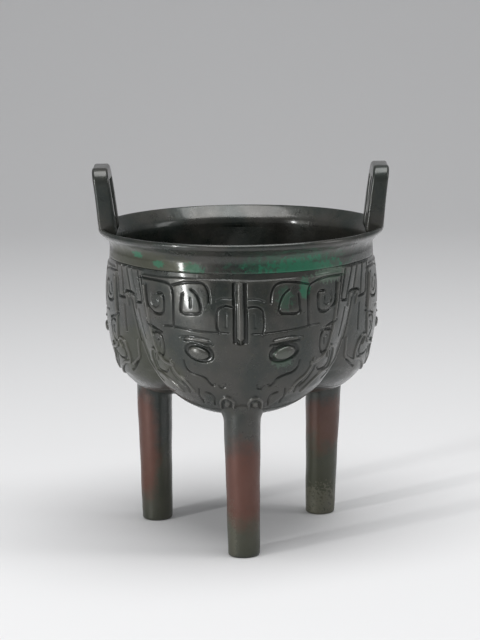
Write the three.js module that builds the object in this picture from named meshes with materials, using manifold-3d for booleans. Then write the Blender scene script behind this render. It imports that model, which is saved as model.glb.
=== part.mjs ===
// A cast bronze tripod cooking vessel (a lobed ding), in millimetres, +Z up.
// The origin is on the ground, midway between the ends of its rim. One lobe faces -Y,
// and the two handles stand on the rim at -X and +X.
//
// The whole vessel is one casting, so it is one solid: a thin bowl of three soft lobes,
// each lobe over its own round leg and each carrying one mask in raised bands.

import * as THREE from "three";
import { mergeVertices } from "three/addons/utils/BufferGeometryUtils.js";
import Module from "manifold-3d";

const wasm = await Module();
wasm.setup();

// ---------------------------------------------------------------- driving dimensions

const RIM_RADIUS = 83; // outer edge of the lip
const RIM_HEIGHT = 182.4; // top of the lip above the ground
const LIP_FACE = 2.6; // height of the lip's upright edge
const LIP_TOP = 1.6; // width of the flat on top of the lip
const NECK_RADIUS = 76.5; // outside of the neck, below the lip
const NECK_HEIGHT = 170;
const WALL = 3; // thickness of the cast wall
const FLOOR_HEIGHT = 86; // underside of the bowl where the three lobes meet

const LOBE_BULGE = 80.7; // outside radius at a lobe's middle, where the bowl is widest
const BULGE_HEIGHT = 136;
const LOBE_BOTTOM = 80.6; // height of a lobe's underside

const LEG_CIRCLE = 57.6; // from the axis to the middle of a foot
const LEG_LEAN = 0.8; // how much further out the top of a leg stands
const LEG_TOP_HEIGHT = 93; // the leg runs this far up into the lobe
const FOOT_EDGE = 1.4; // rounding around the sole

const HANDLE_TOP = 217.2; // height of the handles above the ground
const HANDLE_WIDTH = 36; // across the handle, along the rim
const HANDLE_BAR = 8; // thickness of the bar, seen from the side of the vessel
const HANDLE_DEPTH = 9.2; // thickness of the bar from inside to outside, at the top
const HANDLE_FOOT_DEPTH = 10.4; // and at the lip
const HANDLE_CORNER = 8.5; // outer corner radius
const HANDLE_REACH = 85.4; // outermost point of a handle, at its top
const HANDLE_FOOT_REACH = 81.8; // outer face of the handle at the lip

const RELIEF = 2.1; // height of the mask's bands above the wall
const RELIEF_ROOT = 1.8; // how far each band is sunk into the wall
const DRAFT = 0.55; // each band is this much narrower at its top, on either side

const COLUMNS = 42; // facets around the bowl
const DEGREE_LENGTH = 1.4; // length of one degree around the wall

// The three lobes: the bearing of each in an even layout, how far the caster's mould
// strayed from it, and the leg below, from the bearing of its foot to that of its top,
// a little different under every lobe.
const LOBES = [
  { bearing: -90, stray: -0.6, footBearing: -90.2, topBearing: -90.6, footRadius: 8.9, topRadius: 10.4 },
  { bearing: 30, stray: -2, footBearing: 36.5, topBearing: 33, footRadius: 8.5, topRadius: 10.6 },
  { bearing: 150, stray: 4, footBearing: 155, topBearing: 155, footRadius: 8.8, topRadius: 10.5 },
];

// ------------------------------------------------------------------ the bowl's surface

// Outside profile down the middle of a lobe, and down the valley between two lobes:
// radius and height, from the neck to the middle of the underside.
const LOBE_PROFILE = new THREE.SplineCurve([
  [NECK_RADIUS, NECK_HEIGHT], [77.2, 164], [78.6, 157], [80.2, 147], [LOBE_BULGE, BULGE_HEIGHT],
  [80.4, 122], [78.2, 108], [73.8, 96], [67.5, 88], [60, 83], [51, LOBE_BOTTOM],
  [41, 80.9], [29, 82.8], [15, 85.3], [0, FLOOR_HEIGHT],
].map(([radius, height]) => new THREE.Vector2(radius, height)));
const VALLEY_PROFILE = new THREE.SplineCurve([
  [NECK_RADIUS, NECK_HEIGHT], [75.8, 164], [74.6, 157], [72.8, 147], [70.4, BULGE_HEIGHT],
  [66.8, 122], [61.2, 108], [53.6, 96], [44, 90], [36, 87.8], [28, 86.8],
  [21, 86.3], [14, 86.1], [7, 86], [0, FLOOR_HEIGHT],
].map(([radius, height]) => new THREE.Vector2(radius, height)));
const PROFILE_STEPS = 14; // spans between the points of either profile

const radians = THREE.MathUtils.degToRad;
const LOBE_SPAN = 120; // degrees from one lobe to the next

// Degrees from the middle of the nearest lobe, between -60 and 60.
function fromLobe(bearing) {
  return THREE.MathUtils.euclideanModulo(bearing + 90 + LOBE_SPAN / 2, LOBE_SPAN) - LOBE_SPAN / 2;
}

// The true bearing, in radians, of an even-layout bearing: every lobe pulls the wall
// near it round by its own stray, fading to nothing at the next lobe.
function trueBearing(bearing) {
  let turned = bearing;
  for (const { bearing: middle, stray } of LOBES) {
    const apart = Math.abs(THREE.MathUtils.euclideanModulo(bearing - middle + 180, 360) - 180);
    if (apart < LOBE_SPAN) turned += stray * Math.cos(radians(apart * 90 / LOBE_SPAN)) ** 2;
  }
  return radians(turned);
}

// A point on the outside of the bowl. A level cut through the bowl is three circles run
// together, of the radius that puts their far sides on the lobe profile and their
// crossings on the valley profile. down goes from 0 at the neck to 1 under the middle.
function wallPoint(bearing, down) {
  const lobe = LOBE_PROFILE.getPoint(down);
  const valley = VALLEY_PROFILE.getPoint(down);
  const reach = Math.max(lobe.x, 1e-6);
  const crossing = Math.min(Math.max(valley.x, 0), reach);
  const middle = (reach ** 2 - crossing ** 2) / Math.max(2 * reach - crossing, 1e-6);
  const circle = reach - middle;
  const angle = radians(fromLobe(bearing));
  const radius = middle * Math.cos(angle)
    + Math.sqrt(Math.max(circle ** 2 - (middle * Math.sin(angle)) ** 2, 0));
  const depth = reach - crossing;
  const share = depth > 1e-3 ? THREE.MathUtils.clamp((radius - crossing) / depth, 0, 1) : 1;
  const height = valley.y + (lobe.y - valley.y) * share;
  const turned = trueBearing(bearing);
  return new THREE.Vector3(radius * Math.cos(turned), radius * Math.sin(turned), height);
}

// The outward normal of the bowl there, from two short steps along the surface.
function wallNormal(bearing, down) {
  const step = 1e-3;
  const across = wallPoint(bearing + 1, down).sub(wallPoint(bearing - 1, down));
  const below = wallPoint(bearing, Math.min(down + step, 1));
  const along = below.sub(wallPoint(bearing, Math.max(down - step, 0)));
  return along.cross(across).normalize();
}

// How far down the profile a height on the lobe lies, found by halving.
function downAt(height) {
  let high = 0;
  let low = 10 / PROFILE_STEPS;
  for (let i = 0; i < 30; i++) {
    const middle = (high + low) / 2;
    if (LOBE_PROFILE.getPoint(middle).y > height) high = middle;
    else low = middle;
  }
  return (high + low) / 2;
}

// --------------------------------------------------------------------- closed solids

// A manifold solid from corner points and triangles.
function solid(points, triangles) {
  const mesh = new wasm.Mesh({
    numProp: 3,
    vertProperties: new Float32Array(points.flatMap((point) => [point.x, point.y, point.z])),
    triVerts: new Uint32Array(triangles.flat()),
  });
  return new wasm.Manifold(mesh);
}

// A manifold solid from a closed three.js geometry.
function solidOf(geometry) {
  const bare = geometry.clone();
  bare.deleteAttribute("normal");
  bare.deleteAttribute("uv");
  const merged = mergeVertices(bare, 1e-4);
  const position = merged.getAttribute("position");
  return new wasm.Manifold(new wasm.Mesh({
    numProp: 3,
    vertProperties: new Float32Array(position.array),
    triVerts: new Uint32Array(merged.index.array),
  }));
}

// A closed solid from rings of points stacked from top to bottom, all with the same
// count, shut by a single point above the first and below the last.
function ringSolid(rings, top, bottom) {
  const count = rings[0].length;
  const points = [top, ...rings.flat(), bottom];
  const last = points.length - 1;
  const triangles = [];
  for (let i = 0; i < count; i++) {
    const next = (i + 1) % count;
    triangles.push([0, 1 + i, 1 + next]);
    triangles.push([last, last - count + next, last - count + i]);
    for (let row = 0; row + 1 < rings.length; row++) {
      const upper = 1 + row * count;
      const lower = upper + count;
      triangles.push([upper + i, lower + i, lower + next]);
      triangles.push([upper + i, lower + next, upper + next]);
    }
  }
  return solid(points, triangles);
}

// ------------------------------------------------------------------ bowl and its hollow

const bearings = Array.from({ length: COLUMNS }, (_, i) => i * 360 / COLUMNS);

function roundRing(radius, height) {
  return bearings.map((bearing) => {
    const turned = trueBearing(bearing);
    return new THREE.Vector3(radius * Math.cos(turned), radius * Math.sin(turned), height);
  });
}

// The bowl filled solid: lip, hollow throat under the lip, then the lobed wall.
function bowlBody() {
  const rings = [
    roundRing(RIM_RADIUS, RIM_HEIGHT),
    roundRing(RIM_RADIUS, RIM_HEIGHT - LIP_FACE),
    roundRing(RIM_RADIUS - 2.6, RIM_HEIGHT - 5),
    roundRing(NECK_RADIUS + 1, RIM_HEIGHT - 8.4),
  ];
  for (let step = 0; step < PROFILE_STEPS; step++) {
    rings.push(bearings.map((bearing) => wallPoint(bearing, step / PROFILE_STEPS)));
  }
  const top = new THREE.Vector3(0, 0, RIM_HEIGHT);
  const bottom = new THREE.Vector3(0, 0, FLOOR_HEIGHT);
  return ringSolid(rings, top, bottom);
}

// The hollow: the wall's own surface moved in by its thickness, opened out at the mouth
// by the sloping inside of the lip.
const LIP_SLOPE_END = 7.4; // depth of the lip's sloping inside
const ABOVE = 1; // the hollow runs this far past the mouth
function bowlHollow() {
  const mouth = RIM_RADIUS - LIP_TOP;
  const throat = NECK_RADIUS - WALL;
  const rings = [
    roundRing(mouth, RIM_HEIGHT + ABOVE),
    roundRing(mouth, RIM_HEIGHT),
    roundRing(throat, RIM_HEIGHT - LIP_SLOPE_END),
  ];
  const rows = [0, 3, 5, 6, 7, 8, 9, 10, 12];
  for (const row of rows) {
    const down = row / PROFILE_STEPS;
    rings.push(bearings.map((bearing) => {
      return wallPoint(bearing, down).addScaledVector(wallNormal(bearing, down), -WALL);
    }));
  }
  const top = new THREE.Vector3(0, 0, RIM_HEIGHT + ABOVE);
  const bottom = new THREE.Vector3(0, 0, FLOOR_HEIGHT + WALL);
  return ringSolid(rings, top, bottom);
}

// ----------------------------------------------------------------------------- legs

// A round leg, tapering down to a foot with a softened edge and a flat sole.
const LEG_SIDES = 16;
function leg({ footBearing, topBearing, footRadius, topRadius }) {
  const profile = [
    [0, 0], [footRadius - FOOT_EDGE, 0], [footRadius - 0.4 * FOOT_EDGE, 0.35 * FOOT_EDGE],
    [footRadius, FOOT_EDGE], [footRadius + 0.5 * (topRadius - footRadius), 0.6 * LOBE_BOTTOM],
    [topRadius, LOBE_BOTTOM - 2], [topRadius + 1, LEG_TOP_HEIGHT], [0, LEG_TOP_HEIGHT],
  ];
  const shape = new THREE.LatheGeometry(profile.map(([x, y]) => new THREE.Vector2(x, y)), LEG_SIDES);
  shape.rotateX(Math.PI / 2);
  const position = shape.getAttribute("position");
  for (let i = 0; i < position.count; i++) {
    const share = position.getZ(i) / LEG_TOP_HEIGHT;
    const out = LEG_CIRCLE + LEG_LEAN * share;
    const bearing = radians(THREE.MathUtils.lerp(footBearing, topBearing, share));
    position.setX(i, position.getX(i) + out * Math.cos(bearing));
    position.setY(i, position.getY(i) + out * Math.sin(bearing));
  }
  return solidOf(shape);
}

// --------------------------------------------------------------------------- handles

// An upright handle is an arch with squared shoulders, seen from the side of the vessel,
// cut to the lean of its inner and outer faces, seen along the rim. side is -1 or 1.
const HANDLE_ROOT = 6; // how far the arch runs down into the lip
function handle(side) {
  const half = HANDLE_WIDTH / 2;
  const foot = RIM_HEIGHT - HANDLE_ROOT - 3;
  const arch = new THREE.Shape();
  arch.moveTo(-half, foot);
  arch.lineTo(half, foot);
  arch.lineTo(half, HANDLE_TOP - HANDLE_CORNER);
  arch.absarc(half - HANDLE_CORNER, HANDLE_TOP - HANDLE_CORNER, HANDLE_CORNER, 0, Math.PI / 2);
  arch.absarc(HANDLE_CORNER - half, HANDLE_TOP - HANDLE_CORNER, HANDLE_CORNER, Math.PI / 2, Math.PI);
  const opening = new THREE.Path();
  const inner = half - HANDLE_BAR;
  const innerCorner = 3.5;
  const innerTop = HANDLE_TOP - HANDLE_BAR;
  const sill = RIM_HEIGHT - 0.6;
  opening.moveTo(-inner, sill);
  opening.lineTo(inner, sill);
  opening.lineTo(inner, innerTop - innerCorner);
  opening.absarc(inner - innerCorner, innerTop - innerCorner, innerCorner, 0, Math.PI / 2);
  opening.absarc(innerCorner - inner, innerTop - innerCorner, innerCorner, Math.PI / 2, Math.PI);
  arch.holes.push(opening);
  const across = new THREE.ExtrudeGeometry(arch, { depth: 30, bevelEnabled: false, curveSegments: 5 });
  across.rotateX(Math.PI / 2);
  across.rotateZ(Math.PI / 2);
  across.translate(side * (side > 0 ? 65 : 95), 0, 0);

  const lean = new THREE.Shape([
    [HANDLE_FOOT_REACH - HANDLE_FOOT_DEPTH + 1.6, RIM_HEIGHT - HANDLE_ROOT - 1.6],
    [HANDLE_FOOT_REACH - 0.4, RIM_HEIGHT - 2],
    [HANDLE_FOOT_REACH, RIM_HEIGHT],
    [HANDLE_REACH, HANDLE_TOP - 1],
    [HANDLE_REACH - HANDLE_DEPTH, HANDLE_TOP],
    [HANDLE_FOOT_REACH - HANDLE_FOOT_DEPTH, RIM_HEIGHT - 2],
  ].map(([reach, height]) => new THREE.Vector2(side * reach, height)));
  const faces = new THREE.ExtrudeGeometry(lean, { depth: 2 * HANDLE_WIDTH, bevelEnabled: false });
  faces.rotateX(Math.PI / 2);
  faces.translate(0, HANDLE_WIDTH, 0);
  return solidOf(across).intersect(solidOf(faces));
}

// ------------------------------------------------------------------- the raised masks

// Half of a mask, from its middle to the valley beside it. A band is a path of
// [degrees from the mask's middle, height above the ground] and a width.
const SQUARE_TIP = 1; // straight pieces around a band's end
const ROUND_TIP = 2;
const HORN_TOP = 158.8; // middle of the band across the top of the horns
const SEAM = 134.4; // the horns stand on this line
const EYE = { at: [16.6, 121.4], radius: 5.6, height: 2.1 };
const NOSTRIL = { at: [6.4, 91.6], radius: 3.7, height: 1.5 };
const LEAF_TOP = 156.4; // the leaf hanging inside each horn
const LEAF_FOOT = 142.4;
const STRAND_TOP = 163.5; // the upright strands that fill the valley
const BANDS = [
  // inner horn: frame over its leaf, leaf, back, foot
  { path: [[14.8, 141], [15, 152.6], [17, HORN_TOP], [27.2, HORN_TOP]], width: 2.4 },
  { path: [[19.6, LEAF_TOP], [19.6, LEAF_FOOT]], width: 7.4, tip: ROUND_TIP },
  { path: [[25.5, LEAF_TOP + 0.6], [25.5, 141]], width: 5.2 },
  { path: [[14, 138], [27.4, 138]], width: 5.4 },
  // outer horn: a hook over and under its leaf, leaf
  { path: [[44.6, HORN_TOP + 1], [33, HORN_TOP], [31, 154], [31, 138.6], [41, 138.2]], width: 4.6 },
  { path: [[38.8, LEAF_TOP - 0.6], [38.8, LEAF_FOOT + 0.4]], width: 10.4, tip: ROUND_TIP },
  // bridge of the nose, brow, upper lip and tooth
  { path: [[5.8, 146.2], [5.8, SEAM - 2.2]], width: 7.4 },
  { path: [[28, 131.4], [20, 130.6], [13.4, 127.2]], width: 3.4 },
  { path: [[24.2, 114.6], [20.2, 107.8], [8, 102.4]], width: 2.6 },
  { path: [[14, 98.4], [14.8, 90.2]], width: 7 },
  // cheek: the long ridge, its lower run, the hooked leaf inside it, the border below
  { path: [[42, 134.6], [37.6, 119], [31.6, 112.8]], width: 2.8 },
  { path: [[28.8, 113.6], [26.2, 106.2], [20.6, 97.6]], width: 3 },
  { path: [[37.2, 130.4], [34, 120.4]], width: 4.6 },
  { path: [[47, 129], [41.6, 112.4], [29.4, 96.6]], width: 3 },
  // strands between the horns and the valley
  { path: [[47.4, STRAND_TOP], [46.4, 139]], width: 3 },
  { path: [[52, STRAND_TOP], [51.6, 147]], width: 3 },
  { path: [[56, STRAND_TOP], [54.8, 136]], width: 2.6 },
];
const NOSE_RIDGE = { path: [[0, 160.5], [0, 127.5]], width: 2.4 };
const VALLEY_STRAND = { path: [[60, STRAND_TOP], [60, 114]], width: 2.8 };

// The flat outline of a band: both sides of its path and a round end at either tip,
// drawn in millimetres along the wall and up it.
function bandOutline(path, width, tipSteps) {
  const points = path.map(([degrees, height]) => new THREE.Vector2(degrees * DEGREE_LENGTH, height));
  const curve = new THREE.SplineCurve(points);
  const count = points.length - 1;
  const left = [];
  const right = [];
  for (let i = 0; i <= count; i++) {
    const middle = curve.getPoint(i / count);
    const along = curve.getTangent(i / count);
    const side = new THREE.Vector2(-along.y, along.x).multiplyScalar(width / 2);
    const isTip = i === 0 || i === count;
    const pull = isTip && tipSteps > SQUARE_TIP ? (i === 0 ? 0.5 : -0.5) * width : 0;
    const centre = middle.clone().addScaledVector(along, pull);
    const tip = [];
    for (let k = 1; k < tipSteps && isTip; k++) {
      const turn = Math.PI * k / tipSteps;
      tip.push(centre.clone().add(side.clone().rotateAround(new THREE.Vector2(), -turn)));
    }
    if (i === 0) left.push(...tip.map((point) => centre.clone().multiplyScalar(2).sub(point)));
    left.push(centre.clone().add(side));
    right.push(centre.clone().sub(side));
    if (i === count) left.push(...tip);
  }
  return [...left, ...right.reverse()];
}

// A raised shape on the wall: its outline at the root, and the same outline drawn in by
// the draft at its top. lobe picks the mask, and side mirrors the shape.
function raise(rootOutline, topOutline, height, lobe, side) {
  const place = (point, lift) => {
    const bearing = lobe.bearing + side * point.x / DEGREE_LENGTH;
    const down = downAt(point.y);
    return wallPoint(bearing, down).addScaledVector(wallNormal(bearing, down), lift);
  };
  const flat = topOutline.map((point) => new THREE.Vector2(side * point.x, point.y));
  const anticlockwise = THREE.ShapeUtils.area(flat) > 0;
  const count = flat.length;
  const points = [
    ...topOutline.map((point) => place(point, height)),
    ...rootOutline.map((point) => place(point, -RELIEF_ROOT)),
  ];
  const triangles = [];
  for (const face of THREE.ShapeUtils.triangulateShape(flat, [])) {
    const [a, b, c] = THREE.ShapeUtils.area(face.map((i) => flat[i])) > 0 ? face : face.reverse();
    triangles.push([a, b, c], [count + a, count + c, count + b]);
  }
  for (let i = 0; i < count; i++) {
    const next = (i + 1) % count;
    const [from, to] = anticlockwise ? [i, next] : [next, i];
    triangles.push([from, count + from, count + to], [from, count + to, to]);
  }
  return solid(points, triangles);
}

function band({ path, width, tip = SQUARE_TIP }, lobe, side) {
  const root = bandOutline(path, width, tip);
  const top = bandOutline(path, width - 2 * DRAFT, tip);
  return raise(root, top, RELIEF, lobe, side);
}

const BOSS_SIDES = 8;
function boss({ at, radius, height }, lobe, side) {
  const circle = (size) => Array.from({ length: BOSS_SIDES }, (_, i) => {
    const turn = 2 * Math.PI * i / BOSS_SIDES;
    return new THREE.Vector2(at[0] * DEGREE_LENGTH + size * Math.cos(turn), at[1] + size * Math.sin(turn));
  });
  return raise(circle(radius), circle(0.6 * radius), height, lobe, side);
}

function masks() {
  const raised = [];
  for (const lobe of LOBES) {
    raised.push(band(NOSE_RIDGE, lobe, 1), band(VALLEY_STRAND, lobe, 1));
    for (const side of [-1, 1]) {
      for (const stroke of BANDS) raised.push(band(stroke, lobe, side));
      raised.push(boss(EYE, lobe, side), boss(NOSTRIL, lobe, side));
    }
  }
  return raised;
}

// ---------------------------------------------------------------------- the one casting

let vessel = wasm.Manifold.union([bowlBody(), ...LOBES.map(leg), ...masks()]);
vessel = vessel.subtract(bowlHollow());
vessel = wasm.Manifold.union([vessel, handle(-1), handle(1)]);

const result = vessel.getMesh();
const geometry = new THREE.BufferGeometry();
geometry.setAttribute("position", new THREE.BufferAttribute(result.vertProperties, 3));
geometry.setIndex(new THREE.BufferAttribute(result.triVerts, 1));
geometry.computeVertexNormals();

const bronze = new THREE.MeshStandardMaterial({ color: 0x2f3430, roughness: 0.42, metalness: 0.75 });
const casting = new THREE.Mesh(geometry, bronze);
casting.name = "ding_vessel";

const ding = new THREE.Group();
ding.name = "bronze_ding";
ding.add(casting);

export default ding;
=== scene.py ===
# %% [markdown]
# # A bronze ding with three masks
#
# The object is a small cast bronze cooking vessel: a bowl of three soft lobes that stands
# on three round legs, with two upright handles on its rim and an animal mask on each lobe.
# This lesson gives the plain solid model its real surfaces: smooth rounded metal, carved
# masks, and the dark patina of old bronze. Everything is worked out in the same frame as
# the solid model: +Z up, one lobe facing -Y, handles at -X and +X.

import math

import bpy
import numpy as np
from mathutils import Matrix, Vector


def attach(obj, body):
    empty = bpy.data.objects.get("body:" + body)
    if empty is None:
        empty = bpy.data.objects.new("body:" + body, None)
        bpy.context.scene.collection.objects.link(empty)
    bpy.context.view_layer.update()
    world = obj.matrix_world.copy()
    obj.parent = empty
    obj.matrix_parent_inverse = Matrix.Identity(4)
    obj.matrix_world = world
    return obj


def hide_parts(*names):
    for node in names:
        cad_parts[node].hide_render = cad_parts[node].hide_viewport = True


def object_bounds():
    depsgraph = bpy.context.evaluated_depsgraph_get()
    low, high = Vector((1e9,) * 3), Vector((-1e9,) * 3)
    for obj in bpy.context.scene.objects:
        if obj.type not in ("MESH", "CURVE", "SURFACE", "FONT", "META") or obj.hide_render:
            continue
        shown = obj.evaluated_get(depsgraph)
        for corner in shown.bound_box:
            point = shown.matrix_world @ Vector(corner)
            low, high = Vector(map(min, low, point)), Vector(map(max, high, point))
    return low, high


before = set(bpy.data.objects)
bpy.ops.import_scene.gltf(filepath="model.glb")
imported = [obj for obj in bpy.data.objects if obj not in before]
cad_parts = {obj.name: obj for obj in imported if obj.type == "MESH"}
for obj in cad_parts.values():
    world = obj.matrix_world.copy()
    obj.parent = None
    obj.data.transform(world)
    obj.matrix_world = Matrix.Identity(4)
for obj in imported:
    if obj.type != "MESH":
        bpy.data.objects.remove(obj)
cad_low, cad_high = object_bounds()
print("solid model from", tuple(cad_low), "to", tuple(cad_high))

# %% [markdown]
# ## The sizes
#
# The sizes are the maker's own, in millimetres, and one factor turns them into Blender's
# metres at the moment a mesh is made. The rim is taken from the solid model's box, so the
# rounded lip can't grow past it.

# %% Name the sizes
MM = 0.001
RIM_RADIUS = min(-cad_low.y, cad_high.y) / MM
RIM_HEIGHT = 182.4
WALL = 3.0
LOBE_SPAN = 120.0  # degrees from one lobe to the next
DEGREE_LENGTH = 1.4  # length of one degree around the wall

LOBES = {
    "front": {"bearing": -90, "stray": -0.6},
    "right": {"bearing": 30, "stray": -2},
    "left": {"bearing": 150, "stray": 4},
}
print("lip radius", round(RIM_RADIUS, 2), "mm")

# %% [markdown]
# ## The wall of the bowl
#
# A level cut through the bowl looks like a clover leaf with shallow notches. Three circles
# run together give that outline, so the whole wall needs just two drawn curves: the profile
# down the middle of a lobe and the profile down the valley between two lobes. The circles
# touch the first with their far sides and cross on the second.


# %% Draw the two profiles
def smooth_curve(knots, share):
    """Point at share (0 to 1) of a smooth curve through evenly counted knots: between two
    knots, a cubic whose slope at either knot is half the step between its neighbours."""
    knots = np.asarray(knots, float)
    last = len(knots) - 1
    place = np.clip(np.asarray(share, float), 0, 1) * last
    start = np.minimum(place.astype(int), last - 1)
    t = (place - start)[..., None]
    before = knots[np.maximum(start - 1, 0)]
    here = knots[start]
    there = knots[start + 1]
    after = knots[np.minimum(start + 2, last)]
    slope_here = (there - before) / 2
    slope_there = (after - here) / 2
    return (
        (2 * here - 2 * there + slope_here + slope_there) * t**3
        + (3 * there - 3 * here - 2 * slope_here - slope_there) * t**2
        + slope_here * t
        + here
    )


LOBE_PROFILE = [
    (76.5, 170), (77.2, 164), (78.6, 157), (80.2, 147), (80.7, 136), (80.4, 122),
    (78.2, 108), (73.8, 96), (67.5, 88), (60, 83), (51, 80.6), (41, 80.9),
    (29, 82.8), (15, 85.3), (0, 86),
]
VALLEY_PROFILE = [
    (76.5, 170), (75.8, 164), (74.6, 157), (72.8, 147), (70.4, 136), (66.8, 122),
    (61.2, 108), (53.6, 96), (44, 90), (36, 87.8), (28, 86.8), (21, 86.3),
    (14, 86.1), (7, 86), (0, 86),
]
line_share = np.linspace(0, 1, 4001)
lobe_line = smooth_curve(LOBE_PROFILE, line_share)
line_steps = np.hypot(*np.diff(lobe_line, axis=0).T)
line_length = np.concatenate([[0], np.cumsum(line_steps)])
lowest = int(np.argmin(lobe_line[:, 1]))


def down_at(height):
    """How far down the profile (0 to 1) the lobe's own line is at this height."""
    return np.interp(height, lobe_line[lowest::-1, 1], line_share[lowest::-1])


print("lobe line is", round(line_length[-1], 1), "mm from neck to middle")


# %% [markdown]
# A point of the wall has a bearing and a share of the way down the profile. Each lobe may
# stray a few degrees from an even third, and it takes the wall near it along.


# %% Work out the wall
def true_bearing(bearing):
    """Bearing in degrees after each lobe has pulled the wall near it round by its stray:
    the stray times the squared cosine of three quarters of the angle to that lobe."""
    turned = np.array(bearing, float)
    for lobe in LOBES.values():
        apart = np.abs((bearing - lobe["bearing"] + 180) % 360 - 180)
        pull = np.cos(np.radians(apart * 90 / LOBE_SPAN)) ** 2
        turned += np.where(apart < LOBE_SPAN, lobe["stray"] * pull, 0)
    return turned


def wall(bearing, down):
    """Outside of the bowl. With lobe radius R and valley radius V, each circle is centred
    at m = (R^2 - V^2) / (2R - V) and has radius R - m, so the wall at angle a from a lobe
    is m cos a + sqrt((R - m)^2 - (m sin a)^2). Its height runs from the valley's to the
    lobe's in the same share as its radius does."""
    bearing, down = np.broadcast_arrays(np.asarray(bearing, float), np.asarray(down, float))
    lobe = smooth_curve(LOBE_PROFILE, down)
    valley = smooth_curve(VALLEY_PROFILE, down)
    reach = np.maximum(lobe[..., 0], 1e-6)
    crossing = np.minimum(np.maximum(valley[..., 0], 0), reach)
    middle = (reach**2 - crossing**2) / np.maximum(2 * reach - crossing, 1e-6)
    angle = np.radians((bearing + 90 + LOBE_SPAN / 2) % LOBE_SPAN - LOBE_SPAN / 2)
    inside_root = (reach - middle) ** 2 - (middle * np.sin(angle)) ** 2
    radius = middle * np.cos(angle) + np.sqrt(np.maximum(inside_root, 0))
    depth = reach - crossing
    share = np.where(depth > 1e-3, np.clip((radius - crossing) / np.maximum(depth, 1e-3), 0, 1), 1)
    height = valley[..., 1] + (lobe[..., 1] - valley[..., 1]) * share
    turned = np.radians(true_bearing(bearing))
    return np.stack([radius * np.cos(turned), radius * np.sin(turned), height], -1)


def wall_normal(bearing, down):
    """Outward direction of the wall: the cross product of a short step down the wall and a
    short step around it."""
    step = 1e-3
    across = wall(bearing + 0.8, down) - wall(bearing - 0.8, down)
    along = wall(bearing, np.minimum(down + step, 1)) - wall(bearing, np.maximum(down - step, 0))
    normal = np.cross(along, across)
    return normal / np.maximum(np.linalg.norm(normal, axis=-1, keepdims=True), 1e-9)


def lifted(bearing, down, height):
    """The wall moved out along its own direction by height (mm, in when negative)."""
    bearing, down = np.broadcast_arrays(np.asarray(bearing, float), np.asarray(down, float))
    return wall(bearing, down) + wall_normal(bearing, down) * np.asarray(height)[..., None]


print("front of the bowl at its widest:", wall(-90, down_at(136)).round(1))


# %% [markdown]
# ## Grids into meshes
#
# Every piece below is a grid of points: rows along the piece and columns around it. Two
# helpers turn such a grid into a closed mesh, one for rings shut by a point at each end
# and one for a panel with a front, a back and a rim between them.


# %% Make closed meshes from grids
def new_piece(name, points, faces, layers=None):
    """A smooth-shaded mesh object at the origin, from points in millimetres. layers holds
    one number for each point under a name that the materials can read."""
    mesh = bpy.data.meshes.new(name)
    mesh.from_pydata((points * MM).tolist(), [], faces)
    mesh.polygons.foreach_set("use_smooth", np.ones(len(mesh.polygons), bool))
    for title, values in (layers or {}).items():
        layer = mesh.attributes.new(title, "FLOAT", "POINT")
        layer.data.foreach_set("value", values.astype(np.float32))
    mesh.validate()
    mesh.update()
    piece = bpy.data.objects.new(name, mesh)
    bpy.context.scene.collection.objects.link(piece)
    triangles = int(sum(len(face) - 2 for face in faces))
    low, high = (points.min(0).round(1), points.max(0).round(1))
    print(name, triangles, "triangles, from", low, "to", high)
    return piece


def closed_rings(rings):
    """Points and faces of rings (rows, columns, 3) joined into a skin. The first and the
    last ring are shut by the point in their middle. Faces point outwards where the rings run
    anticlockwise, seen from the side that the first ring faces."""
    rows, columns, _ = rings.shape
    points = np.concatenate([rings.reshape(-1, 3), rings[[0, -1]].mean(1)])
    here = np.arange(columns)
    after = (here + 1) % columns
    start = (np.arange(rows - 1) * columns)[:, None]
    quads = np.stack(
        [start + here, start + columns + here, start + columns + after, start + after], -1
    ).reshape(-1, 4)
    first, last = rows * columns, rows * columns + 1
    end = (rows - 1) * columns
    fans = np.concatenate([
        np.stack([np.full(columns, first), here, after], -1),
        np.stack([np.full(columns, last), end + after, end + here], -1),
    ])
    return points, quads.tolist() + fans.tolist()


print("helpers ready")

# %% [markdown]
# ## The bowl
#
# The bowl is one skin that starts under the middle, climbs the outside, turns over the lip
# and comes down the inside, three millimetres in. Where the masks will lie, the outside is
# sunk a little, so that each mask can be a panel of its own with a much finer grid. The lip
# is a smooth curve through a few points: a hollow throat, a short upright face, a rounded
# top and a slope into the neck.

# %% Model the bowl
BOWL_COLUMNS = 480
MASK_TOP = 165.4  # the panels reach from here
MASK_FOOT = 86.6  # to here on the lobe's own line
SINK = 1.5  # the bowl lies this much lower under the panels
SINK_EDGE = 0.5

bearings = np.arange(BOWL_COLUMNS) * 360 / BOWL_COLUMNS
turned = np.radians(true_bearing(bearings))
mask_top_down = down_at(MASK_TOP)
mask_foot_down = down_at(MASK_FOOT)
edge_down = SINK_EDGE / line_length[-1]

underside = np.linspace(1, mask_foot_down + edge_down, 44)[1:]
sunk = np.linspace(mask_foot_down - edge_down, mask_top_down + edge_down, 16)
upper = np.linspace(mask_top_down - edge_down, 0, 8)
outer_down = np.concatenate([underside, sunk, upper])
outer_sink = np.concatenate([np.zeros(len(underside)), np.full(len(sunk), -SINK), np.zeros(len(upper))])
outside = lifted(bearings[None], outer_down[:, None], outer_sink[:, None] + 0 * bearings)

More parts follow.
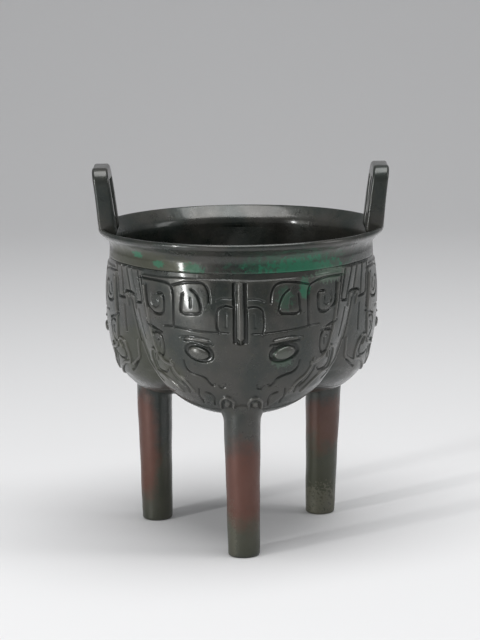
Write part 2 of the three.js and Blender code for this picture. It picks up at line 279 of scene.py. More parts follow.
LIP_LINE = [
    (76.5, 170), (76.45, 171.4), (76.6, 172.8), (77.2, 174.3), (78.4, 175.9), (80, 177.4),
    (81.6, 178.6), (82.5, 179.5), (82.95, 180.5), (82.85, 181.5), (82.3, 182.2),
    (81.6, 182.4), (80.7, 182.1), (79, 180.6), (77, 178.6), (75.2, 176.7), (74.1, 175),
    (73.6, 173), (73.5, 171.4), (73.5, 170),
]
lip_line = smooth_curve(LIP_LINE, np.linspace(0, 1, 64)[1:-1])
lip_line[:, 0] *= np.where(lip_line[:, 0] > 81, RIM_RADIUS / 82.97, 1)
lip = np.stack([
    lip_line[:, :1] * np.cos(turned),
    lip_line[:, :1] * np.sin(turned),
    lip_line[:, 1:] + 0 * turned,
], -1)

inner_down = np.linspace(0, 1, 76)[:-1]
inside = lifted(bearings[None], inner_down[:, None], -WALL + 0 * inner_down[:, None] * bearings)
bowl_points, bowl_faces = closed_rings(np.concatenate([outside, lip, inside]))
bowl_faces = [face[::-1] for face in bowl_faces]  # its rings start underneath
outer_rows = len(outside) + int(lip_line[:, 1].argmax())
facing_out = np.zeros(len(bowl_points))
facing_out[: outer_rows * BOWL_COLUMNS] = 1
bowl = new_piece("bowl", bowl_points, bowl_faces, {"facing_out": facing_out})

# %% [markdown]
# ## The masks
#
# Each lobe carries one animal mask: a nose ridge down the middle, a hooked horn on either
# side, almond eyes under a low brow, a mouth line, and round nostrils just over the leg.
# The founder carved it as broad flat bands with narrow cuts between them. So the mask is a
# height over the wall, worked out for every point of a fine grid: a low plateau, minus a
# rounded cut along each groove path, plus a rounded bead along each ridge path. Paths are
# (degrees from the middle of the lobe, height in mm), drawn once and mirrored.

# %% Draw the mask
HORN_TOP = 160.4  # the cut over the horns
SEAM = 133.4  # the cut that the horns stand on
GROOVES = [
    # (width, depth, path): outer horn's border, its hanging leaf, the curl in the leaf
    (1.15, 1.2, [
        (49, 160.6), (45, 160.6), (38, HORN_TOP), (33, 159.3), (30, 157), (28.8, 153),
        (28.6, 147), (28.8, 140), (29, 134.8),
    ]),
    (1.25, 1.25, [
        (44.8, 157), (44.6, 148), (43, 144), (39.5, 141.7), (35.8, 141.7), (33.9, 144.2),
        (33.7, 150.6), (35, 153.2), (37.4, 153.2),
    ]),
    (0.8, 0.55, [(41.4, 152.6), (41.6, 147.4), (39.4, 145.2), (37.2, 146.8), (37.4, 150)]),
    (1.2, 1.2, [(48.2, 159.6), (47.4, 150), (46.6, 142), (46, 137.4)]),
    # inner horn's border and its leaf
    (1.1, 1.15, [(29.8, 158), (24, 159.8), (17.6, HORN_TOP), (14.2, 158.8), (12.8, 154.6), (12.5, 149.6)]),
    (1.15, 1.2, [
        (20.4, 156.2), (17.6, 153), (16, 147.6), (16.2, 144), (18.6, 143), (24.4, 143.1),
        (24.7, 149), (24.4, 153.6),
    ]),
    (0.7, 0.4, [(20.6, 151.6), (20.2, 146.4)]),
    # the cut under the horns, in two lengths
    (0.75, 0.8, [(4.6, SEAM - 0.4), (14, SEAM), (21, SEAM + 0.5), (30, SEAM + 1.7), (34.4, SEAM + 1.7)]),
    (0.95, 1.0, [(36, 131.2), (41, 133.1), (46.4, 135)]),
    # beside and under the nose ridge, and round the blocks of the nose
    (1.9, 1.35, [(2.15, 160), (2.15, 131), (1.9, 129), (0.3, 127.6)]),
    (0.9, 1.0, [(3.2, 147.4), (6, 148), (8.6, 146.4), (9.3, 143), (9.2, 137), (8.4, 132.6)]),
    (0.7, 0.7, [(3.4, 152), (7.2, 152), (9.8, 150.6)]),
    (0.5, 0.4, [(5.6, 143.8), (5.6, 136.4)]),
    # brow lines
    (0.6, 0.6, [(12.6, 128.8), (15, 129.6), (20.5, 130.2), (26, 129.4)]),
    (0.8, 0.8, [(11.4, 126.2), (14.4, 126.6), (19.4, 127.2), (24, 127.8)]),
    # inner corner of the eye
    (1.3, 1.3, [(13.2, 124.4), (11.9, 121.8), (12, 119.4), (14, 117.8)]),
    # mouth, with the two small hooks near its middle
    (0.85, 0.9, [
        (24.8, 115.8), (24, 112), (22, 109.5), (18.4, 108.3), (15, 106.8), (13.6, 104.4),
        (12, 102.6), (10.8, 103.2),
    ]),
    (0.75, 0.7, [(9.4, 102.8), (8.2, 101.2), (6.6, 101.8), (6.4, 103.8)]),
    # fang
    (1.0, 1.0, [(19.2, 99.4), (19.4, 95.4), (18.5, 90)]),
    (0.9, 0.8, [(12.3, 90), (12.1, 94.4), (13.2, 97), (15.8, 98.2)]),
    # the leaf in the cheek, and its curl
    (1.0, 1.0, [(42, 130), (38.4, 130.7), (36, 128.2), (35.4, 121.6), (37.4, 117.4), (40, 118.4)]),
    (0.75, 0.7, [(39.8, 127), (38, 125.8), (38.2, 122.4)]),
    # jaw lines between the lower ridges
    (0.8, 0.8, [(34, 110.4), (33, 107.4), (30.4, 103.4), (26.6, 100)]),
    (0.8, 0.8, [(43.8, 117), (44.2, 111), (42, 108), (37.4, 107.4), (35.6, 109)]),
    (0.8, 0.8, [(27.4, 102.6), (24.8, 99.4), (24.4, 96.6)]),
    (0.8, 0.8, [(52.4, 107.6), (47, 103), (43, 100.8)]),
    # strands between the horns and the valley
    (1.1, 1.2, [(50.6, 163.6), (49.8, 154), (49.2, 147), (51, 145.6), (54.2, 145.6)]),
    (1.0, 1.1, [(55.6, 165), (54.6, 155), (53.4, 146.8)]),
    (1.0, 1.2, [(60, 150), (57, 150), (55.4, 149.2)]),
    (0.9, 1.0, [(53, 141), (52, 133), (50.6, 125)]),
    (1.4, 1.2, [(60, 164), (60, 151)]),
    (1.4, 1.1, [(60, 146), (60, 112)]),
]
RIDGES = [
    # (width, height, path): nose, cheek, jaw
    (2.1, 1.15, [(0, 160.4), (0, 127.8)]),
    (2.2, 0.95, [
        (46.4, 156), (45.6, 148), (44.8, 141), (44, 133), (42.4, 125), (41, 119.6), (38.6, 115.6),
        (35, 113.4), (31.2, 112.9),
    ]),
    (2.0, 0.8, [(32.6, 115), (31, 110), (28.6, 106.2), (24.6, 102.8), (21.8, 98)]),
    (2.0, 0.9, [
        (42.4, 114.4), (41.8, 118.2), (44.2, 120.2), (46.8, 117.8), (47.3, 111.8), (45.6, 106.8),
        (40, 105.2), (34, 101.4), (28.6, 96.4),
    ]),
    (2.0, 0.8, [(57.4, 120.8), (55.6, 114.4), (54.4, 110.4), (50.6, 107.4), (46.6, 105.2)]),
    (1.8, 0.8, [(58.2, 146.8), (57.4, 148.6), (56.2, 147.4), (56.2, 141.6)]),
    (1.6, 0.6, [(13.8, 128), (18, 128.5), (23, 128.8)]),
]
EYE = {"at": (17.6, 121.2), "long": 6.6, "high": 3.7, "tilt": 0.16, "rise": 1.9}
NOSTRIL = {"at": (6.3, 91.5), "radius": 4.2, "width": 1.5, "rise": 1.5, "ball": 2.3}
PLATEAU = 0.7
print(len(GROOVES), "grooves and", len(RIDGES), "ridges on each half of a mask")


# %% [markdown]
# A groove or ridge is felt only near its path, so its depth at a point follows from the
# distance to that path. The deepest cut and the highest bead win where several meet.


# %% Measure the distance to a path
def smooth_step(low, high, value):
    """0 at low, 1 at high, and 3t^2 - 2t^3 between them, whichever of the two is larger."""
    t = np.clip((value - low) / (high - low), 0, 1)
    return t * t * (3 - 2 * t)


def path_distance(x, z, path):
    """Distance in mm from each point of the grid to a smooth curve through the path: the
    least distance to any of its short straight pieces. The grid is left at a far distance
    outside the path's own box, where no groove reaches."""
    line = smooth_curve(path, np.linspace(0, 1, 6 * len(path)))
    line[:, 0] *= DEGREE_LENGTH
    margin = 4.0
    far = np.full(x.shape, 99.0)
    near = (x > line[:, 0].min() - margin) & (x < line[:, 0].max() + margin)
    near &= (z > line[:, 1].min() - margin) & (z < line[:, 1].max() + margin)
    spot = np.stack([x[near], z[near]], -1)[:, None]
    start, step = line[:-1], np.diff(line, axis=0)
    along = ((spot - start) * step).sum(-1) / np.maximum((step**2).sum(-1), 1e-9)
    nearest = start + step * np.clip(along, 0, 1)[..., None]
    far[near] = np.linalg.norm(spot - nearest, axis=-1).min(-1)
    return far


def mask_height(degrees, height, wobble):
    """Height of the carving over the wall in mm, at degrees from the middle of the lobe and
    height on the lobe's line. wobble shifts the drawing by a slow wave, so that no two
    halves are quite alike, as in hand-cut work."""
    x = degrees * DEGREE_LENGTH
    hand = smooth_step(0, 9, LOBE_SPAN / 2 * DEGREE_LENGTH - np.abs(x))
    x_hand = x + hand * (0.3 * np.sin(height / 11 + wobble) + 0.18 * np.sin(height / 4.7 + x / 9 - wobble))
    z_hand = height + hand * (0.3 * np.sin(x / 13 + wobble) + 0.15 * np.sin(x / 5.1 - wobble))
    side = np.abs(x_hand)
    spread = side / DEGREE_LENGTH
    # the plateau's lower edge dips over the leg and its upper edge is higher by the valley
    foot = 97 - 9 * smooth_step(24, 8, spread) + 6 * smooth_step(36, 58, spread)
    band = smooth_step(162.9, 161.4, z_hand)
    strand = smooth_step(46, 49, spread) * smooth_step(165.2, 164.2, z_hand)
    plateau = PLATEAU * np.maximum(band, strand) * smooth_step(foot - 3, foot + 1, z_hand)
    cut = np.zeros_like(side)
    for width, depth, path in GROOVES:
        distance = path_distance(side, z_hand, path)
        cut = np.maximum(cut, depth * smooth_step(width * 0.5 + 0.42, width * 0.5 - 0.38, distance))
    bead = np.zeros_like(side)
    for width, rise, path in RIDGES:
        distance = path_distance(side, z_hand, path) / (width / 2)
        bead = np.maximum(bead, rise * np.sqrt(np.clip(1 - distance**2, 0, 1)))
    ex = side - EYE["at"][0] * DEGREE_LENGTH
    ez = z_hand - EYE["at"][1] - EYE["tilt"] * ex
    eye = np.hypot(ex / EYE["long"], ez / EYE["high"])
    cut = np.maximum(cut, 1.0 * smooth_step(0.32, 0.12, np.abs(eye - 1.14)))
    bead = np.maximum(bead, EYE["rise"] * np.sqrt(np.clip(1 - eye**2, 0, 1)))
    nx = side - NOSTRIL["at"][0] * DEGREE_LENGTH
    nz = z_hand - NOSTRIL["at"][1]
    ring = np.hypot(nx, np.maximum(nz, 0)) - NOSTRIL["radius"]
    arch = np.sqrt(np.clip(1 - (ring / (NOSTRIL["width"] / 2)) ** 2, 0, 1))
    bead = np.maximum(bead, NOSTRIL["rise"] * arch * smooth_step(-5, -2, nz))
    ball = np.hypot(nx, nz) / NOSTRIL["ball"]
    bead = np.maximum(bead, 1.2 * np.sqrt(np.clip(1 - ball**2, 0, 1)))
    return plateau - cut + bead


print("carving at the tip of the nose:", mask_height(np.zeros((1, 1)), np.full((1, 1), 128.0), 0).round(2))

# %% [markdown]
# Each panel's front follows the wall with the carving on it, and its back lies hidden
# inside the wall. How far each point lies under its surroundings is kept for the painted
# shade in the cuts and the painted highlight on the raised edges.

# %% Model the three masks
MASK_COLUMNS = 384
MASK_ROWS = 252
BACK_STEP = 12  # the hidden back grid is this many times coarser
BACK_DEPTH = 2.0


def soft_copy(values, reach):
    """The same grid with each value replaced by the mean of its neighbours: a running mean
    over reach points each way, done three times in both directions."""
    result = values
    for axis in (0, 1):
        for _ in range(3):
            pad = [(0, 0), (0, 0)]
            pad[axis] = (reach + 1, reach)
            total = np.cumsum(np.pad(result, pad, mode="edge"), axis=axis)
            width = 2 * reach + 1
            upper = np.take(total, np.arange(width, total.shape[axis]), axis=axis)
            lower = np.take(total, np.arange(0, total.shape[axis] - width), axis=axis)
            result = (upper - lower) / width
    return result


def rim_faces(fine, coarse):
    """Faces between a fine edge and the coarse edge behind it, one for each coarse step."""
    return [
        [*fine[i * BACK_STEP : (i + 1) * BACK_STEP + 1].tolist(), int(coarse[i + 1]), int(coarse[i])]
        for i in range(len(coarse) - 1)
    ]


def mask_panel(name, middle, wobble):
    """A closed panel: the carved front, a plain back inside the wall, and rims."""
    degrees = np.linspace(-LOBE_SPAN / 2, LOBE_SPAN / 2, MASK_COLUMNS + 1)
    top, foot = (np.interp(down_at(h), line_share, line_length) for h in (MASK_TOP, MASK_FOOT))
    length = np.linspace(top, foot, MASK_ROWS + 1)
    down = np.interp(length, line_length, line_share)
    height = np.interp(length, line_length, lobe_line[:, 1])
    degree_grid, height_grid = np.meshgrid(degrees, height)
    carving = mask_height(degree_grid, height_grid, wobble)
    from_edge = np.minimum(length - top, foot - length)[:, None]
    lift = carving * smooth_step(0.2, 1.0, from_edge) + 0.05 * smooth_step(0.1, 1.6, from_edge) - 0.04
    front = lifted(middle + degrees[None], down[:, None], lift)
    back = lifted(middle + degrees[None], down[:, None], np.full(lift.shape, -BACK_DEPTH))
    rows, columns = lift.shape
    number = np.arange(rows * columns).reshape(rows, columns)
    quads = np.stack([number[:-1, :-1], number[1:, :-1], number[1:, 1:], number[:-1, 1:]], -1)
    coarse_back = back[::BACK_STEP, ::BACK_STEP]
    behind = number.size + np.arange(coarse_back[..., 0].size).reshape(coarse_back.shape[:2])
    flips = np.stack([behind[:-1, :-1], behind[:-1, 1:], behind[1:, 1:], behind[1:, :-1]], -1)
    faces = quads.reshape(-1, 4).tolist() + flips.reshape(-1, 4).tolist()
    faces += rim_faces(number[::-1, 0], behind[::-1, 0]) + rim_faces(number[-1, ::-1], behind[-1, ::-1])
    faces += rim_faces(number[:, -1], behind[:, -1]) + rim_faces(number[0], behind[0])
    recess = np.concatenate([(soft_copy(lift, 5) - lift).ravel(), np.zeros(behind.size)])
    points = np.concatenate([front.reshape(-1, 3), coarse_back.reshape(-1, 3)])
    return new_piece(name, points, faces, {"recess": recess})


masks = [
    mask_panel(f"mask_{name}", lobe["bearing"], wobble)
    for (name, lobe), wobble in zip(LOBES.items(), (0.4, 2.1, 4.2))
]

# %% [markdown]
# ## The legs
#
# Three plain round legs, cast in one with the bowl, each a little thicker at the top. A
# leg is a stack of rings around a slightly leaning line. Its top follows the underside of
# the lobe, so it never shows inside the bowl, and it widens there in a small fillet.

# %% Model the legs
LEG_CIRCLE = 57.6
LEG_LEAN = 0.8
LEG_TOP_HEIGHT = 93
FOOT_EDGE = 1.5
FILLET_RISE = 7  # the flare under the bowl: how high it is
FILLET_FLARE = 1.9  # and how wide
LEG_INTO_WALL = 1.3
LEGS = {
    "front": {"foot_bearing": -90.2, "top_bearing": -90.6, "foot": 8.9, "top": 10.4},
    "right": {"foot_bearing": 36.5, "top_bearing": 33, "foot": 8.5, "top": 10.6},
    "left": {"foot_bearing": 155, "top_bearing": 155, "foot": 8.8, "top": 10.5},
}


def underside_height(distance):
    """Height of the lobe's underside at a distance from the axis, along the lobe's line."""
    share = line_share >= down_at(108)
    return np.interp(distance, lobe_line[share][::-1, 0], lobe_line[share][::-1, 1])


def leg_piece(name, leg):
    """A leg: radius runs from foot to top, waves by a tenth of a millimetre as a casting
    does, rounds in over the sole, and flares as the square of the last few millimetres."""
    side = np.linspace(0, 2 * np.pi, 96, endpoint=False)[None]
    share = np.concatenate([np.linspace(0, 0.02, 6), np.linspace(0.03, 0.9, 60), np.linspace(0.91, 1, 20)])
    share = share[:, None]

    def place(height, flare):
        """Level coordinates of the leg's skin at a height, widened by flare (mm)."""
        up = height / LEG_TOP_HEIGHT
        out = LEG_CIRCLE + LEG_LEAN * up
        bearing = np.radians(leg["foot_bearing"] + (leg["top_bearing"] - leg["foot_bearing"]) * up)
        sole = np.clip(height / FOOT_EDGE, 0, 1)
        radius = leg["foot"] + (leg["top"] - leg["foot"]) * smooth_step(-0.25, 1.05, up) + flare
        radius = radius - FOOT_EDGE * (1 - np.sqrt(1 - (1 - sole) ** 2))
        radius = radius + 0.1 * np.sin(height / 9 + 2 * side) + 0.07 * np.sin(height / 4 - side)
        return out * np.cos(bearing) + radius * np.cos(side), out * np.sin(bearing) + radius * np.sin(side)

    x, y = place(np.full((1, side.size), 86.0), 1.0)
    top = underside_height(np.hypot(x, y)) + LEG_INTO_WALL
    height = share * top
    flare = FILLET_FLARE * np.clip(1 - (top - height) / FILLET_RISE, 0, 1) ** 2
    x, y = place(height, flare)
    rings = np.stack([x, y, height], -1)
    return new_piece(name, *closed_rings(rings[::-1]))


legs = [leg_piece(f"leg_{name}", leg) for name, leg in LEGS.items()]

# %% [markdown]
# ## The handles
#
# Each handle is one bar of rounded rectangular section, bent into a squared arch that
# stands on the lip and leans outwards. The section is carried along the arch's middle
# line: its width lies in the plane of the arch, and its depth crosses it.

# %% Model the handles
HANDLE_TOP = 217.2
HANDLE_WIDTH = 36
HANDLE_BAR = 8.0
HANDLE_DEPTH = 9.2
HANDLE_FOOT_DEPTH = 10.4
HANDLE_REACH = min(-cad_low.x, cad_high.x) / MM
HANDLE_FOOT_REACH = 81.8
HANDLE_ROOT = 7.5  # the bar reaches this far down into the lip
HANDLE_BEND = 4.6  # radius of the middle line at the corners
SECTION_CORNER = 1.7
ROOT_OUTER = 75.2  # distances from the axis of the root's faces, inside the lip
ROOT_INNER = 73.6
LIP_OUTER = 80.6


def rounded_section(width, depth, corner, count=12):
    """Outline of a rounded rectangle, anticlockwise: a quarter circle at each corner, and
    the straight sides between their ends."""
    turn = np.linspace(0, np.pi / 2, count)[None] + np.arange(4)[:, None] * np.pi / 2
    sign_x = np.array([1, -1, -1, 1])[:, None]
    sign_y = np.array([1, 1, -1, -1])[:, None]
    x = sign_x * (width / 2 - corner) + corner * np.cos(turn)
    y = sign_y * (depth / 2 - corner) + corner * np.sin(turn)
    return np.stack([x.ravel(), y.ravel()], -1)


def handle_piece(name, side):
    """A handle on the side +1 or -1. The middle line goes up, round a corner, across, round
    the other corner and down; the outline of the section is laid across it at every step.
    Its inner and outer face lean outwards over the lip and stay inside the lip below it."""
    half = (HANDLE_WIDTH - HANDLE_BAR) / 2
    peak = HANDLE_TOP - HANDLE_BAR / 2
    foot = RIM_HEIGHT - HANDLE_ROOT
    rise = np.linspace(foot, peak - HANDLE_BEND, 40, endpoint=False)
    turn = np.linspace(0, np.pi / 2, 14)
    corner_y = half - HANDLE_BEND + HANDLE_BEND * np.cos(turn)
    corner_z = peak - HANDLE_BEND + HANDLE_BEND * np.sin(turn)
    bar = np.linspace(half - HANDLE_BEND, 0, 14)[1:]
    line_y = np.concatenate([np.full(rise.size, half), corner_y, bar])
    line_z = np.concatenate([rise, corner_z, np.full(bar.size, peak)])
    tilt = np.concatenate([np.zeros(rise.size), turn, np.full(bar.size, np.pi / 2)])
    line_y = np.concatenate([line_y, -line_y[-2::-1]])
    line_z = np.concatenate([line_z, line_z[-2::-1]])
    tilt = np.concatenate([tilt, np.pi - tilt[-2::-1]])
    outline = rounded_section(HANDLE_BAR, HANDLE_DEPTH, SECTION_CORNER)
    across, through = outline[:, 0][None], outline[:, 1][None]
    y = line_y[:, None] + across * np.cos(tilt)[:, None]
    z = line_z[:, None] + across * np.sin(tilt)[:, None]
    up = (z - RIM_HEIGHT) / (HANDLE_TOP - RIM_HEIGHT)
    in_lip = RIM_HEIGHT - 2
    outer_places = [ROOT_OUTER, LIP_OUTER, HANDLE_FOOT_REACH, HANDLE_REACH]
    outer = np.interp(z, [foot, in_lip, RIM_HEIGHT, HANDLE_TOP], outer_places)
    foot_inner = HANDLE_FOOT_REACH - HANDLE_FOOT_DEPTH
    inner_places = [ROOT_INNER, foot_inner, HANDLE_REACH - HANDLE_DEPTH]
    inner = np.interp(z, [foot, in_lip, HANDLE_TOP], inner_places)
    x = (outer + inner) / 2 + through / HANDLE_DEPTH * (outer - inner)
    wave = 0.12 * np.sin(z / 6 + y / 5) * smooth_step(0, 0.2, up)
    x = np.minimum(x + wave, HANDLE_REACH)
    rings = np.stack([side * x, y, z], -1)
    points, faces = closed_rings(rings)
    if side < 0:
        faces = [face[::-1] for face in faces]
    return new_piece(name, points, faces)


handles = [handle_piece("handle_left", -1), handle_piece("handle_right", 1)]

# %% [markdown]
# ## The patina
#
# Old bronze of this kind is almost black, with a half gloss, and its colour drifts between
# green-black and warm grey. Bright malachite sits in patches on the neck, red-brown cuprite
# shows through on the legs, and paler dirt lies near the feet. On the masks, painted shade
# darkens the cuts and a painted highlight lightens the raised edges. The material is one dark
# half-metallic surface. Each stain is an ellipsoid in the object's own coordinates, broken
# up by noise, that mixes its colour in and takes the gloss down.

# %% Helpers for materials
BLACK_GREEN = (0.016, 0.022, 0.019)
WARM_GREY = (0.040, 0.039, 0.034)
MALACHITE = (0.012, 0.150, 0.078)
PALE_GREEN = (0.110, 0.190, 0.130)
CUPRITE = (0.105, 0.030, 0.016)
OLIVE = (0.042, 0.044, 0.020)
SPECKLE = (0.085, 0.088, 0.072)
DIRT = (0.130, 0.125, 0.090)
# painted shade: a near-black colour laid into the cuts of the masks
CUT_SHADE = (0.008, 0.010, 0.008)  # in the cuts of the masks
# painted highlight: a pale grey laid on the raised edges of the masks
EDGE_HIGHLIGHT = (0.105, 0.103, 0.092)  # on their edges


class Shading:
    """A material's nodes, with short calls for the few kinds that are used."""

    def __init__(self, name):
        self.material = bpy.data.materials.new(name)
        self.material.use_nodes = True
        self.nodes = self.material.node_tree.nodes
        self.links = self.material.node_tree.links
        self.surface = self.nodes["Principled BSDF"]
        self.place = self.nodes.new("ShaderNodeTexCoord").outputs["Object"]

    def join(self, source, socket):
        """Links a source socket, or sets a plain value."""
        if isinstance(source, bpy.types.NodeSocket):
            self.links.new(source, socket)
        else:
            socket.default_value = source

    def noise(self, grain, detail=4.0, rough=0.55):
        """Noise of about this grain in mm, 0 to 1."""
        node = self.nodes.new("ShaderNodeTexNoise")
        node.inputs["Scale"].default_value = 1 / (grain * MM)
        node.inputs["Detail"].default_value = detail
        node.inputs["Roughness"].default_value = rough
        self.join(self.place, node.inputs["Vector"])
        return node.outputs["Fac"]

    def layer(self, title):
        """The number that each point of the mesh holds under this name."""
        node = self.nodes.new("ShaderNodeAttribute")
        node.attribute_name = title
        return node.outputs["Fac"]

    def math(self, operation, first, second=0.0):
        """One sum on two numbers or sockets."""
        node = self.nodes.new("ShaderNodeMath")
        node.operation = operation
        self.join(first, node.inputs[0])
        self.join(second, node.inputs[1])
        return node.outputs[0]

    def ramp(self, value, low, high, to_low=0.0, to_high=1.0):
        """value taken from low..high to to_low..to_high, smoothly and clamped."""
        node = self.nodes.new("ShaderNodeMapRange")
        node.interpolation_type = "SMOOTHSTEP"
        self.join(value, node.inputs["Value"])
        node.inputs["From Min"].default_value = low
        node.inputs["From Max"].default_value = high
        node.inputs["To Min"].default_value = to_low
        node.inputs["To Max"].default_value = to_high
        return node.outputs["Result"]

    def mix(self, share, first, second):
        """Colour between first and second."""
        node = self.nodes.new("ShaderNodeMix")
        node.data_type = "RGBA"
        self.join(share, node.inputs["Factor"])
        for socket, colour in ((node.inputs[6], first), (node.inputs[7], second)):
            self.join(colour if isinstance(colour, bpy.types.NodeSocket) else (*colour, 1), socket)
        return node.outputs[2]

    def stain(self, centre, size, grain, broken, soft):
        """1 inside an ellipsoid (centre and half sizes in mm), 0 outside it. Noise of this
        grain eats into the edge as deep as broken says, and soft is the edge's width."""
        shift = self.nodes.new("ShaderNodeVectorMath")
        shift.operation = "SUBTRACT"
        self.join(self.place, shift.inputs[0])
        shift.inputs[1].default_value = [c * MM for c in centre]
        shrink = self.nodes.new("ShaderNodeVectorMath")
        shrink.operation = "DIVIDE"
        self.join(shift.outputs[0], shrink.inputs[0])
        shrink.inputs[1].default_value = [s * MM for s in size]
        length = self.nodes.new("ShaderNodeVectorMath")
        length.operation = "LENGTH"
        self.join(shrink.outputs[0], length.inputs[0])
        eaten = self.math("SUBTRACT", self.noise(grain, 5.0, 0.65), 0.5)
        edge = self.math("ADD", length.outputs["Value"], self.math("MULTIPLY", eaten, broken))
        return self.ramp(edge, 1.0 + soft / 2, 1.0 - soft / 2)


def bronze(name, stains=(), carved=False, only_outside=False, coat_roughness=0.1):
    """The dark patina with its stains. Each stain is (colour, share, centre, size, grain,
    broken, soft). With only_outside, none of them gets through to the inside of the wall."""
    s = Shading(name)
    cloud = s.noise(26, 3.0)
    fine = s.noise(2.2, 6.0, 0.6)
    colour = s.mix(s.ramp(cloud, 0.38, 0.64), BLACK_GREEN, WARM_GREY)
    colour = s.mix(s.ramp(fine, 0.5, 0.75, 0, 0.35), colour, OLIVE)
    colour = s.mix(s.ramp(s.noise(0.9, 3.0, 0.7), 0.56, 0.74, 0, 0.5), colour, SPECKLE)
    rough = s.math("ADD", s.ramp(s.noise(9, 5.0), 0.3, 0.7, 0.24, 0.38), s.ramp(fine, 0.4, 0.7, 0, 0.06))
    for stain_colour, share, centre, size, grain, broken, soft in stains:
        mask = s.math("MULTIPLY", s.stain(centre, size, grain, broken, soft), share)
        if only_outside:
            mask = s.math("MULTIPLY", mask, s.layer("facing_out"))
        colour = s.mix(mask, colour, stain_colour)
        rough = s.math("ADD", rough, s.math("MULTIPLY", mask, 0.22))
    if carved:
        # painted shade: the cuts of the carving are darkened towards near black
        recess = s.layer("recess")
        hollow = s.ramp(recess, 0.1, 0.7, 0, 0.75)
        colour = s.mix(hollow, colour, CUT_SHADE)
        # painted highlight: the raised bands and edges of the carving are lightened towards pale grey
        highlight_share = s.ramp(s.math("MULTIPLY", recess, -1.0), 0.08, 0.5, 0, 0.6)
        colour = s.mix(highlight_share, colour, EDGE_HIGHLIGHT)
        rough = s.math("ADD", rough, s.math("MULTIPLY", hollow, 0.12))
    s.join(colour, s.surface.inputs["Base Color"])
    s.join(rough, s.surface.inputs["Roughness"])
    s.surface.inputs["Metallic"].default_value = 0.35
    s.surface.inputs["Coat Weight"].default_value = 0.45
    s.surface.inputs["Coat Roughness"].default_value = coat_roughness
    bump = s.nodes.new("ShaderNodeBump")
    bump.inputs["Strength"].default_value = 0.42
    bump.inputs["Distance"].default_value = 0.25 * MM
    swell = s.math("MULTIPLY", s.noise(7, 3.0), 2.5)
    s.join(s.math("ADD", s.noise(1.1, 5.0, 0.6), swell), bump.inputs["Height"])
    s.join(bump.outputs["Normal"], s.surface.inputs["Normal"])
    return s.material


print("material helpers ready")

# %% [markdown]
# Stains that cross from the bowl on to a mask are listed for both. Every piece rides on
# the one rigid body, and together they take the place of the plain solid.

# %% Give the pieces their patina
NECK_STAINS = [
    (OLIVE, 0.7, (-55, -45, 168), (34, 44, 9), 8, 1.5, 0.5),
    (MALACHITE, 0.3, (30, -66, 167), (34, 24, 10), 4, 2.6, 0.6),
    (MALACHITE, 0.9, (33, -67, 166.5), (24, 16, 6), 2.6, 4.4, 0.5),
    (MALACHITE, 0.8, (35, -69, 156), (3, 8, 6), 3, 2.0, 0.3),
    (PALE_GREEN, 0.55, (50, -58, 162), (13, 14, 4), 2, 2.6, 0.4),
    (MALACHITE, 0.8, (-58, -49, 173), (3.4, 5, 2), 1.6, 2.6, 0.4),
    (MALACHITE, 0.7, (-46, -60, 169), (3.6, 5, 1.8), 1.6, 2.8, 0.4),
    (MALACHITE, 0.45, (-27, -72, 168), (6, 8, 2.6), 2, 4.0, 0.6),
]
MASK_STAINS = [
    (MALACHITE, 0.8, (35, -69, 156), (3, 8, 6), 3, 2.0, 0.3),
    (MALACHITE, 0.3, (24, -76, 151), (4, 8, 6), 2.0, 4.0, 0.8),
    (PALE_GREEN, 0.5, (50, -58, 162), (13, 14, 4), 2, 2.6, 0.4),
    (PALE_GREEN, 0.3, (22, -76, 118), (6, 8, 6), 2, 3.0, 0.4),
    (OLIVE, 0.5, (-60, -40, 110), (30, 40, 18), 8, 1.5, 0.5),
]
LEG_STAINS = [
    (OLIVE, 0.6, (0, -58, 14), (14, 14, 22), 8, 1.5, 0.6),
    (OLIVE, 0.7, (46, 34, 30), (14, 14, 40), 8, 1.5, 0.6),
    (OLIVE, 0.5, (-52, 24, 20), (16, 16, 30), 8, 1.5, 0.6),
    (CUPRITE, 0.85, (1, -60, 44), (16, 16, 24), 12, 1.0, 0.7),
    (CUPRITE, 0.8, (-60, 20, 46), (10, 16, 32), 12, 1.0, 0.6),
    (CUPRITE, 0.6, (50, 30, 58), (14, 16, 18), 10, 1.4, 0.7),
    (DIRT, 0.6, (46, 34, 6), (12, 14, 13), 1.6, 3.4, 0.4),
    (DIRT, 0.3, (-7, -62, 9), (2.5, 8, 20), 1.2, 4.0, 0.4),
]
bowl.data.materials.append(bronze("bowl_bronze", NECK_STAINS, only_outside=True))
mask_bronze = bronze("mask_bronze", MASK_STAINS, carved=True)
leg_bronze = bronze("leg_bronze", LEG_STAINS, coat_roughness=0.26)
handle_bronze = bronze("handle_bronze")
for mask in masks:
    mask.data.materials.append(mask_bronze)
for leg in legs:
    leg.data.materials.append(leg_bronze)
for handle in handles:
    handle.data.materials.append(handle_bronze)
for piece in [bowl, *masks, *legs, *handles]:
    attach(piece, "root")
    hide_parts("ding_vessel")
print(len(bpy.data.materials), "materials")

# %% [markdown]
# ## The studio
#
# The vessel stands on a pale sweep that rises behind it. A wide soft light hangs over it,
# which gives the rim and the handles their grey tops, and a narrow tall one at the left
# draws the thin bright line down each leg. A little light comes from all around.

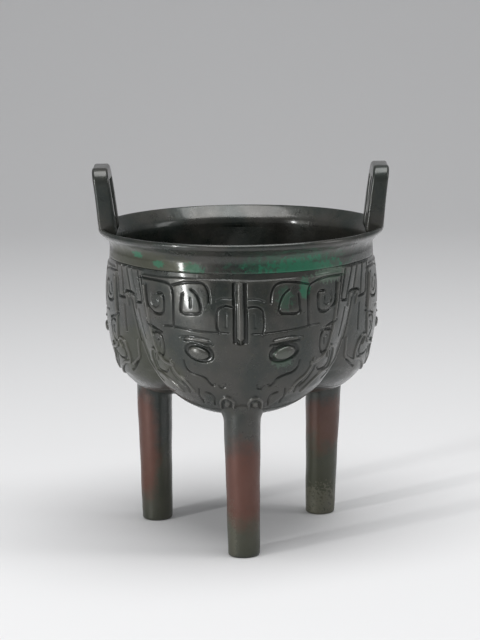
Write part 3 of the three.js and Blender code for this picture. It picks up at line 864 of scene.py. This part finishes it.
# %% Build the studio
SWEEP_WIDTH = 6.0
across = np.linspace(-SWEEP_WIDTH / 2, SWEEP_WIDTH / 2, 3)
bend = np.linspace(0, np.pi / 2, 24)
sweep_y = np.concatenate([[-3.0], 1.2 + 1.2 * np.sin(bend), [2.4]])
sweep_z = np.concatenate([[0.0], 1.2 - 1.2 * np.cos(bend), [3.5]])
sweep_x, sweep_line = np.meshgrid(across, np.arange(sweep_y.size))
sweep_points = np.stack([sweep_x, sweep_y[sweep_line], sweep_z[sweep_line]], -1).reshape(-1, 3) / MM
count = np.arange(sweep_x.size).reshape(sweep_x.shape)
sweep_faces = np.stack([count[:-1, :-1], count[:-1, 1:], count[1:, 1:], count[1:, :-1]], -1)
sweep = new_piece("sweep", sweep_points, sweep_faces.reshape(-1, 4).tolist())
paper = Shading("paper")
paper.surface.inputs["Base Color"].default_value = (0.76, 0.76, 0.765, 1)
paper.surface.inputs["Roughness"].default_value = 0.9
sweep.data.materials.append(paper.material)


def softbox(name, place, aim, width, height, power):
    """A rectangular lamp at place (m), turned to shine at aim."""
    lamp = bpy.data.lights.new(name, "AREA")
    lamp.shape = "RECTANGLE"
    lamp.size = width
    lamp.size_y = height
    lamp.energy = power
    holder = bpy.data.objects.new(name, lamp)
    bpy.context.scene.collection.objects.link(holder)
    toward = np.subtract(aim, place)
    level = math.hypot(toward[0], toward[1])
    holder.location = place
    holder.rotation_euler = (math.atan2(level, -toward[2]), 0, math.atan2(toward[1], toward[0]) - math.pi / 2)


softbox("overhead", (0.05, -0.2, 1.5), (0, -0.1, 0.1), width=1.4, height=1.0, power=21)
softbox("strip", (-1.1, -0.86, 0.31), (0, 0, 0.1), width=0.08, height=0.6, power=9)
softbox("side", (1.5, -0.3, 0.7), (0, 0, 0.1), width=0.4, height=0.9, power=4)
world = bpy.data.worlds.new("room")
world.use_nodes = True
world.node_tree.nodes["Background"].inputs["Color"].default_value = (0.97, 0.98, 1.0, 1)
world.node_tree.nodes["Background"].inputs["Strength"].default_value = 0.25
bpy.context.scene.world = world
bpy.context.scene.view_settings.view_transform = "Standard"

# %% [markdown]
# A long lens stands more than a metre off, a little over the rim, and looks slightly down.

# %% Set the camera
CAMERA_PLACE = (-0.00115, -1.372, 0.3827)  # m
CAMERA_LENS = 134.05  # mm
CAMERA_DIP = 10.62  # degrees below level
CAMERA_ROLL = -0.6
camera_data = bpy.data.cameras.new("camera")
camera_data.sensor_width = 36
camera_data.lens = CAMERA_LENS
camera_data.clip_end = 20
camera = bpy.data.objects.new("camera", camera_data)
bpy.context.scene.collection.objects.link(camera)
dip = Matrix.Rotation(math.radians(90 - CAMERA_DIP), 4, "X")
roll = Matrix.Rotation(math.radians(CAMERA_ROLL), 4, "Z")
camera.matrix_world = Matrix.Translation(CAMERA_PLACE) @ dip @ roll
bpy.context.scene.camera = camera
print("camera lens", camera_data.lens)
